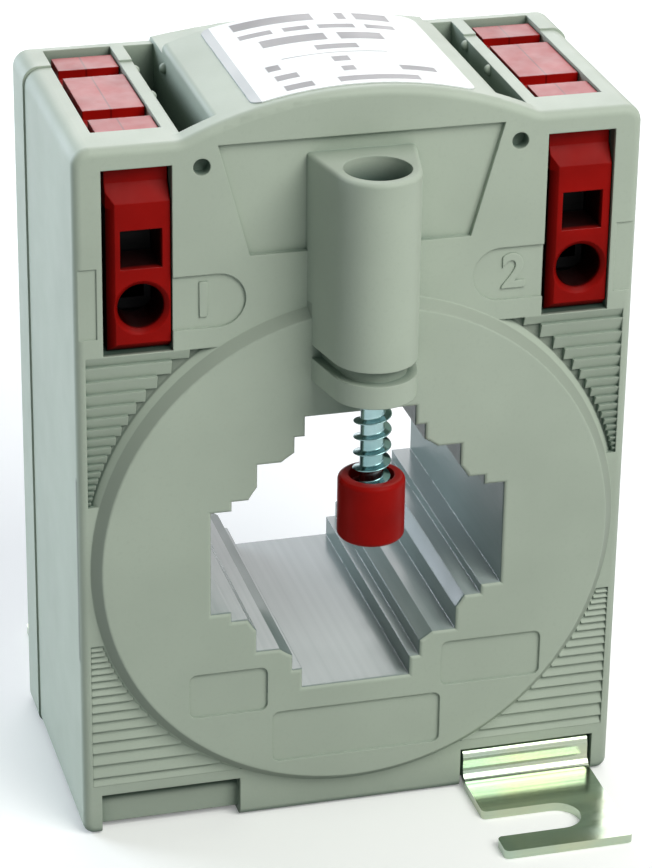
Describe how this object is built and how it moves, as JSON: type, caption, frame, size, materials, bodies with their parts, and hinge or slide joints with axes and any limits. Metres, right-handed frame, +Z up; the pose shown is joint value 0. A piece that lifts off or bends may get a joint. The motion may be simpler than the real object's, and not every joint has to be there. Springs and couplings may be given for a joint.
{
  "type": "current transformer",
  "caption": "Upright window-type current transformer with a stepped busbar window, clamping screw, red spring terminals, arched top and plug-in mounting feet.",
  "frame": {"origin": "centre of the overall footprint, on the plane that the feet and the housing stand on", "axes": "+Z up, +Y through the window to the back, +X to the right as seen from the front"},
  "size_m": [0.0604, 0.0628, 0.0835],
  "materials": {
    "housing_plastic": "fine satin moulded surface",
    "red_plastic": "satin moulded",
    "core_steel": "wound strip",
    "case_plastic": "moulded",
    "enamelled_wire": "enamelled copper",
    "tape": "wrapped film",
    "tinned_bar": "tinned",
    "lead_jacket": "smooth jacket",
    "spring_steel": "bright rolled",
    "yellow_zinc_steel": "yellow-passivated zinc",
    "blue_zinc_steel": "blue-white zinc",
    "label_film": "printed film"
  },
  "bodies": {
    "housing": {"front_housing": "housing_plastic", "rear_cover": "housing_plastic", "core_ring": "core_steel", "core_case_front": "case_plastic", "core_case_rear": "case_plastic", "secondary_winding": "enamelled_wire", "winding_tape": "tape", "terminal_block_left": "red_plastic", "terminal_block_right": "red_plastic", "contact_bar_left": "tinned_bar", "contact_bar_right": "tinned_bar", "lead_wire_left": "lead_jacket", "lead_wire_right": "lead_jacket", "foot_bracket_front": "yellow_zinc_steel", "foot_bracket_rear": "yellow_zinc_steel", "rating_label": "label_film", "clamp_spring_left_front": "spring_steel", "clamp_spring_left_rear": "spring_steel", "clamp_spring_right_front": "spring_steel", "clamp_spring_right_rear": "spring_steel"},
    "pressure_cap": {"screw_cap": "red_plastic"},
    "screw": {"clamp_screw": "blue_zinc_steel"}
  },
  "joints": [
    {"name": "cap_slide", "type": "slide", "parent": "housing", "child": "pressure_cap", "axis": [0, 0, 1], "range_m": [-0.01, 0.0093]},
    {"name": "screw_turn", "type": "hinge", "parent": "pressure_cap", "child": "screw", "pos_m": [0, -0.0213, 0.05], "axis": [0, 0, 1], "range_deg": [-2023, 1881]}
  ],
  "couplings": [
    {"joint": "screw_turn", "follows": "cap_slide", "rad_per_m": 3529.9}
  ]
}
